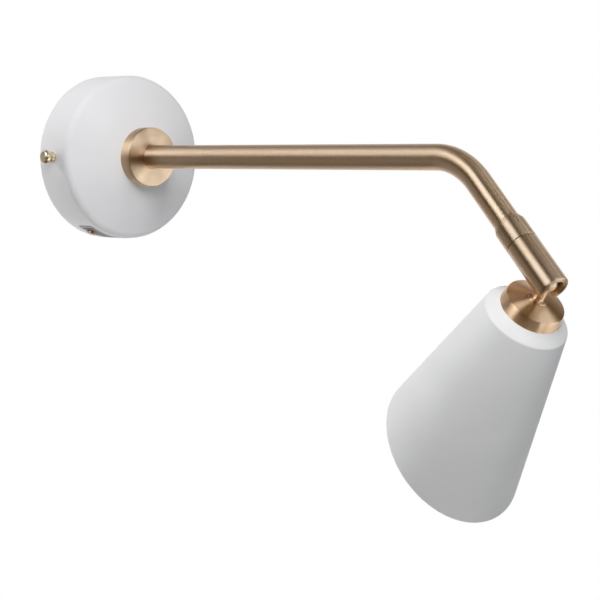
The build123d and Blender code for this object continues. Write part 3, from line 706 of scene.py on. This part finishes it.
def makeFork(shape=forkShape):
    radius = shape["radius"]
    bm = spinOutline([
        (shape["studHole"], shape["start"]), (radius, shape["start"]), (radius, shape["end"]),
        (shape["bore"], shape["end"]), (shape["bore"], shape["webEnd"]),
        (shape["studHole"], shape["webEnd"]),
    ], steps=shape["sides"])
    roundRing(bm, radius, shape["end"], shape["endRound"], segments=8)
    roundRing(bm, shape["bore"], shape["end"], shape["boreRound"], segments=4)
    roundRing(bm, radius, shape["start"], shape["seamRound"], segments=3)
    half = shape["slotWidth"] / 2
    slot = boxCutter((-half, -radius - overshoot, shape["slotStart"]),
                     (half, 0, shape["end"] + overshoot))

    def slotCorner(edge):
        low = all(abs(corner.co.z - shape["slotStart"]) < closeEnough for corner in edge.verts)
        return low and abs(edge.verts[0].co.x - edge.verts[1].co.x) < closeEnough

    corners = [edge for edge in slot.edges if slotCorner(edge)]
    roundEdges(slot, corners, shape["slotRound"], segments=12)
    pinStart = shape["pinSkin"] - radius
    pinHole = rodCutter(shape["pin"], pinStart, radius + overshoot, (1, 0, 0))
    headHole = rodCutter(shape["headHole"], shape["headSeat"], radius + overshoot, (1, 0, 0),
                         segments=64)
    bm = cutAway(bm, [slot, pinHole, headHole])
    finishPiece("brassFork", bm, swivelPlace, swivelBrass, "swivel", ["swivel_fork"])


stemShape = {
    "ball": 5.3,
    "ballSteps": 24,
    "flats": 6.9,
    "spotFace": 3.6,
    "neck": 3.1,
    "neckRound": 0.6,
    "collar": 5.5,
    "collarStart": 11.3,
    "collarEnd": 11.9,
    "collarRound": 0.25,
    "spigot": 4.0,
    "spigotEnd": 28.0,
    "bore": 2.3,
    "boreTop": 5.4,
    "sideHole": 1.7,
    "sideHoleHeight": 7.6,
    "pin": 2.05,
    "sides": 96,
}


def makeStem(shape=stemShape):
    # a ball on a round neck, faced off on both sides where the bushes sit
    ball, neck = shape["ball"], shape["neck"]
    last = math.pi - math.asin(neck / ball)
    turns = [last * step / shape["ballSteps"] for step in range(shape["ballSteps"] + 1)]
    ballRound = [(ball * math.sin(turn), -ball * math.cos(turn)) for turn in turns]
    bm = spinOutline(ballRound + [
        (neck, shape["collarStart"]), (shape["collar"], shape["collarStart"]),
        (shape["collar"], shape["collarEnd"]), (shape["spigot"], shape["collarEnd"]),
        (shape["spigot"], shape["spigotEnd"]), (0, shape["spigotEnd"]),
    ], closed=False, steps=shape["sides"])
    roundRing(bm, neck, shape["collarStart"], shape["neckRound"], segments=3)
    roundRing(bm, shape["collar"], shape["collarStart"], shape["collarRound"], segments=2)
    half, wide = shape["flats"] / 2, 3 * ball
    bm = cutAway(bm, [
        rodCutter(shape["spotFace"], half, wide, (1, 0, 0)),
        rodCutter(shape["spotFace"], half, wide, (-1, 0, 0)),
        rodCutter(shape["pin"], -wide, wide, (1, 0, 0)),
        rodCutter(shape["sideHole"], 0, wide, (0, -1, 0), at=(0, 0, shape["sideHoleHeight"])),
        rodCutter(shape["bore"], shape["boreTop"], wide * 2, (0, 0, 1)),
    ])
    finishPiece("brassStem", bm, headPlace, headBrass, "head", ["head_stem"])


capShape = {
    "top": 11.9,
    "topRadius": 6.2,
    "edge": 14.2,
    "edgeRadius": 16.0,
    "base": 20.6,
    "baseRadius": 17.0,
    "wall": 1.6,
    "hole": 4.05,
    "edgeRound": 0.55,
    "baseRound": 0.2,
    "sides": 256,
    "sharpFrom": 40,  # degrees
}


def makeCap(shape=capShape):
    wall = shape["wall"]
    slope = (shape["edge"] - shape["top"]) / (shape["edgeRadius"] - shape["topRadius"])
    inside = shape["top"] + wall * math.hypot(1, slope)
    bm = spinOutline([
        (shape["hole"], shape["top"]), (shape["topRadius"], shape["top"]),
        (shape["edgeRadius"], shape["edge"]), (shape["baseRadius"], shape["base"]),
        (shape["baseRadius"] - wall, shape["base"]),
        (shape["edgeRadius"] - wall, shape["edge"] + wall),
        (shape["topRadius"], inside), (shape["hole"], inside),
    ], steps=shape["sides"])
    roundRing(bm, shape["edgeRadius"], shape["edge"], shape["edgeRound"], segments=3)
    roundRing(bm, shape["baseRadius"], shape["base"], shape["baseRound"], segments=2)
    finishPiece("brassCap", bm, headPlace, headBrass, "head", ["shade_cap"],
                sharpFrom=shape["sharpFrom"])


shadeShape = {
    "plate": 20.6,
    "plateRadius": 17.0,
    "shoulder": 25.4,
    "shoulderRadius": 23.2,
    "shoulderRound": 1.8,
    "flare": 10.87,  # degrees
    "length": 120.0,
    "slant": 17.6,
    "beyond": 46.4,
    "wall": 1.2,
    "hole": 4.05,
    "lipRound": 0.4,
    "sides": 256,
}


def makeShade(shape=shadeShape):
    wall, plate, shoulder = shape["wall"], shape["plate"], shape["shoulder"]
    flare, slant = math.tan(math.radians(shape["flare"])), math.radians(shape["slant"])
    end = shape["length"] + shape["beyond"]
    endRadius = shape["shoulderRadius"] + (end - shoulder) * flare
    slope = (shoulder - plate) / (shape["shoulderRadius"] - shape["plateRadius"])
    # the wall's thickness, across the axis at the cone and along it at the shoulder
    acrossWall, alongWall = wall * math.hypot(1, flare), wall * math.hypot(1, slope)
    inward = (alongWall + slope * acrossWall) * flare / (1 - slope * flare)
    insideRadius = shape["shoulderRadius"] - acrossWall + inward
    insideShoulder = shoulder + alongWall - slope * (shape["shoulderRadius"] - insideRadius)
    insidePlate = shape["plateRadius"] - (alongWall - wall) / slope
    bm = spinOutline([
        (shape["hole"], plate), (shape["plateRadius"], plate), (shape["shoulderRadius"], shoulder),
        (endRadius, end), (endRadius - acrossWall, end), (insideRadius, insideShoulder),
        (insidePlate, plate + wall), (shape["hole"], plate + wall),
    ], steps=shape["sides"])
    roundRing(bm, shape["shoulderRadius"], shape["shoulder"], shape["shoulderRound"], segments=6)
    # the slanted mouth: cut off, closed with a ring of faces, and its two edges softened
    mouth = Vector((0, -math.sin(slant), math.cos(slant)))
    bmesh.ops.bisect_plane(bm, geom=bm.verts[:] + bm.edges[:] + bm.faces[:], dist=onPlane,
                           plane_co=(0, 0, shape["length"]), plane_no=mouth, clear_outer=True)
    lips = [edge for edge in bm.edges if edge.is_boundary]
    bmesh.ops.bridge_loops(bm, edges=lips)
    roundEdges(bm, lips, shape["lipRound"], segments=3)
    bmesh.ops.recalc_face_normals(bm, faces=bm.faces)
    finishPiece("whiteShade", bm, headPlace, whitePaint, "head", ["shade"])


labelShape = {
    "from": -122.5,  # degrees round the rim, from the right
    "to": -76.0,
    "near": 7.0,  # off the wall
    "far": 21.0,
    "gap": 0.02,
    "thickness": 0.12,
    "cornerRound": 1.8,
    "outline": 0.55,
    "band": 1.5,
    "slices": 40,
}


def makeLabel(shape=labelShape):
    # a bare label: a flat plate with rounded corners and a bordered panel, bent round the rim
    radius = canopyShape["radius"] + shape["gap"]
    start, end = math.radians(shape["from"]), math.radians(shape["to"])
    length, width = (end - start) * radius, shape["far"] - shape["near"]
    bm = bmesh.new()
    spots = ((0, 0, 0), (length, 0, 0), (length, 0, width), (0, 0, width))
    corners = [bm.verts.new(spot) for spot in spots]
    bm.faces.new(corners)
    bmesh.ops.bevel(bm, geom=corners, offset=shape["cornerRound"], segments=6, profile=0.5,
                    affect="VERTICES", material=-1)
    zone = bm.faces.layers.float.new("zone")
    for amount, value in ((shape["outline"], bandZone), (shape["band"], panelZone)):
        innermost = max(face[zone] for face in bm.faces)
        middle = [face for face in bm.faces if face[zone] == innermost]
        bmesh.ops.inset_region(bm, faces=middle, thickness=amount, use_boundary=True,
                               use_even_offset=True)
        for face in middle:
            face[zone] = value
    for step in range(1, shape["slices"]):
        bmesh.ops.bisect_plane(bm, geom=bm.verts[:] + bm.edges[:] + bm.faces[:], dist=onPlane,
                               plane_co=(length * step / shape["slices"], 0, 0), plane_no=(1, 0, 0))
    for vert in bm.verts:
        turn = start + vert.co.x / radius
        height = vert.co.z + shape["near"]
        vert.co = Vector((math.cos(turn) * radius, math.sin(turn) * radius, height))
    bmesh.ops.solidify(bm, geom=bm.faces[:], thickness=-shape["thickness"])
    bmesh.ops.recalc_face_normals(bm, faces=bm.faces)
    finishPiece("rimLabel", bm, wallPlace, labelFilm, "arm")


makeCanopy()
makeLabel()
makeSideScrews()
makeCollar()
makeTube()
makeSleeve()
makeFork()
makeStem()
makeCap()
makeShade()
print("pieces made")

# the camera, solved from outlines in the photo

photoCamera = {
    "azimuth": -40.665,  # degrees, from straight in front of the wall
    "elevation": 3.603,
    "aside": 0.120872,
    "lift": -0.089419,
    "distance": 1.430409,
    "lens": 137.3,  # millimetres
    "sensor": 36,
    "clip": (0.05, 50),
}


def makeCamera(values=photoCamera):
    azimuth, elevation = math.radians(values["azimuth"]), math.radians(values["elevation"])
    right = Vector((math.cos(azimuth), math.sin(azimuth), 0))
    level = math.cos(elevation)
    back = Vector((
        math.sin(azimuth) * level, -math.cos(azimuth) * level, math.sin(elevation)
    ))
    up = back.cross(right)
    camera = bpy.data.objects.new("photoCamera", bpy.data.cameras.new("photoCamera"))
    spot = right * values["aside"] + up * values["lift"] + back * values["distance"]
    camera.matrix_world = Matrix.Translation(spot) @ Matrix((right, up, back)).transposed().to_4x4()
    camera.data.lens = values["lens"]
    camera.data.sensor_width = values["sensor"]
    camera.data.clip_start, camera.data.clip_end = values["clip"]
    bpy.context.scene.collection.objects.link(camera)
    bpy.context.scene.camera = camera


makeCamera()

# the studio

studio = {
    "ambient": 0.15,
    "floorHeight": -2.0,
    "floorPale": 0.72,
    "floorRoughness": 0.8,
    "floorHalf": 8,
    "aim": (0, -0.2, -0.05),  # where the softboxes point
    "surroundings": (0.118, 0.092, 0.052),  # what the metal sees between the panels
    "panelTint": (0.93, 1.05, 1.19),
}


def softbox(towards, size, watts, distance=1.8):
    return {"towards": towards, "size": size, "watts": watts, "distance": distance}


softboxes = {
    "frontLight": softbox((-0.415, -0.734, 0.537), 1.09, 18.23),
    "topLight": softbox((-0.129, -0.376, 0.917), 0.61, 6.92),
    "leftLight": softbox((-0.578, -0.816, -0.013), 0.61, 3.93),
    "wallLight": softbox((-0.203, 0.961, -0.187), 0.61, 11.97),
    "wallTopLight": softbox((-0.430, 0.812, 0.383), 0.85, 11.50),
    "canopyLight": softbox((-0.75, -0.15, 0.64), 0.3, 0.42, distance=0.6),
    "lowLight": softbox((0.257, 0.288, -0.923), 0.61, 11.03),
}
wide, middling, narrow = (16, 36), (9, 22), (4, 13)  # a panel's inner and outer degrees
studioPanels = [  # what the metal sees round the object, added together
    {"towards": (-0.818, -0.073, 0.570), "spread": middling, "level": 4.14},
    {"towards": (-0.967, 0.013, 0.256), "spread": narrow, "level": 3.00},
    {"towards": (-0.594, -0.167, 0.787), "spread": narrow, "level": 1.24},
    {"towards": (0.112, -0.698, -0.707), "spread": narrow, "level": 3.66},
    {"towards": (0.154, -0.916, 0.370), "spread": narrow, "level": 3.60},
    {"towards": (-0.171, -0.922, 0.347), "spread": narrow, "level": 2.33},
    {"towards": (0.550, -0.498, 0.670), "spread": narrow, "level": 1.96},
    {"towards": (0.645, -0.699, -0.310), "spread": wide, "level": 1.77},
    {"towards": (-0.358, 0.549, 0.756), "spread": middling, "level": 0.97},
    {"towards": (-0.625, 0.736, -0.261), "spread": wide, "level": 0.24},
]
backdrop = {"towards": (0.650, 0.757, -0.063), "spread": (38, 62)}  # white, in the metal too


def seenDirectly(tree, rays):
    # the background shows as white to the camera and through the lens
    camera, clear = rays.outputs["Is Camera Ray"], rays.outputs["Is Transmission Ray"]
    return math2(tree, "MAXIMUM", camera, clear)


def lightWorld():
    world = bpy.data.worlds.new("studioWorld")
    bpy.context.scene.world = world
    world.use_nodes = True
    tree = world.node_tree
    direction = addNode(tree, "ShaderNodeTexCoord").outputs["Generated"]

    def lobe(panel):
        inner, outer = (math.cos(math.radians(degrees)) for degrees in panel["spread"])
        facing = addNode(tree, "ShaderNodeVectorMath", operation="DOT_PRODUCT")
        join(tree, direction, facing.inputs[0])
        facing.inputs[1].default_value = Vector(panel["towards"]).normalized()
        edge = addNode(tree, "ShaderNodeMapRange", interpolation_type="SMOOTHSTEP")
        join(tree, facing.outputs["Value"], edge.inputs["Value"])
        edge.inputs["From Min"].default_value = outer
        edge.inputs["From Max"].default_value = inner
        return edge.outputs[0]

    seen = None
    for panel in studioPanels:
        glow = addNode(tree, "ShaderNodeVectorMath", operation="SCALE")
        glow.inputs[0].default_value = Vector(studio["panelTint"]) * panel["level"]
        join(tree, lobe(panel), glow.inputs["Scale"])
        total = addNode(tree, "ShaderNodeVectorMath", operation="ADD")
        total.inputs[0].default_value = studio["surroundings"]
        if seen:
            join(tree, seen, total.inputs[0])
        join(tree, glow.outputs[0], total.inputs[1])
        seen = total.outputs[0]
    behind = addNode(tree, "ShaderNodeMix", data_type="RGBA")
    join(tree, lobe(backdrop), behind.inputs[0])
    join(tree, seen, behind.inputs[6])
    behind.inputs[7].default_value = (1, 1, 1, 1)
    rays = addNode(tree, "ShaderNodeLightPath")
    glossy = addNode(tree, "ShaderNodeMix", data_type="RGBA")
    join(tree, rays.outputs["Is Glossy Ray"], glossy.inputs[0])
    glossy.inputs[6].default_value = (studio["ambient"],) * 3 + (1,)
    join(tree, behind.outputs[2], glossy.inputs[7])
    white = addNode(tree, "ShaderNodeMix", data_type="RGBA")
    join(tree, seenDirectly(tree, rays), white.inputs[0])
    join(tree, glossy.outputs[2], white.inputs[6])
    white.inputs[7].default_value = (1, 1, 1, 1)
    join(tree, white.outputs[2], tree.nodes["Background"].inputs["Color"])


def hangSoftbox(name, values):
    lamp = bpy.data.objects.new(name, bpy.data.lights.new(name, "AREA"))
    lamp.data.shape = "DISK"
    lamp.data.size = values["size"]
    lamp.data.energy = values["watts"]
    aim = Vector(studio["aim"])
    towards = Vector(values["towards"]).normalized()
    lamp.location = aim + towards * values["distance"]
    lamp.rotation_mode = "QUATERNION"
    lamp.rotation_quaternion = towards.to_track_quat("Z", "Y")
    lamp.visible_glossy = False  # the metal sees it as a panel of the world
    lamp.visible_camera = False
    bpy.context.scene.collection.objects.link(lamp)


def layFloor():
    bm = bmesh.new()
    bmesh.ops.create_grid(bm, x_segments=1, y_segments=1, size=studio["floorHalf"])
    bm.transform(Matrix.Translation((0, 0, studio["floorHeight"])))
    mesh = bpy.data.meshes.new("floor")
    bm.to_mesh(mesh)
    bm.free()
    floor = bpy.data.objects.new("floor", mesh)
    bpy.context.scene.collection.objects.link(floor)
    finish, tree, shader = newFinish("paleFloor")
    shader.inputs["Base Color"].default_value = (studio["floorPale"],) * 3 + (1,)
    shader.inputs["Roughness"].default_value = studio["floorRoughness"]
    rays = addNode(tree, "ShaderNodeLightPath")
    white = addNode(tree, "ShaderNodeEmission", Strength=1.0)
    clear = addNode(tree, "ShaderNodeBsdfTransparent")
    side = addNode(tree, "ShaderNodeNewGeometry")
    lit = addNode(tree, "ShaderNodeMixShader")
    join(tree, seenDirectly(tree, rays), lit.inputs[0])
    join(tree, shader.outputs[0], lit.inputs[1])
    join(tree, white.outputs[0], lit.inputs[2])
    oneSided = addNode(tree, "ShaderNodeMixShader")
    join(tree, side.outputs["Backfacing"], oneSided.inputs[0])
    join(tree, lit.outputs[0], oneSided.inputs[1])
    join(tree, clear.outputs[0], oneSided.inputs[2])
    join(tree, oneSided.outputs[0], tree.nodes["Material Output"].inputs["Surface"])
    mesh.materials.append(finish)
    floor.visible_glossy = False  # the metal sees the studio's panels and backdrop


lightWorld()
for name, values in softboxes.items():
    hangSoftbox(name, values)
layFloor()
bpy.context.scene.view_settings.view_transform = "Standard"
print("studio lit")
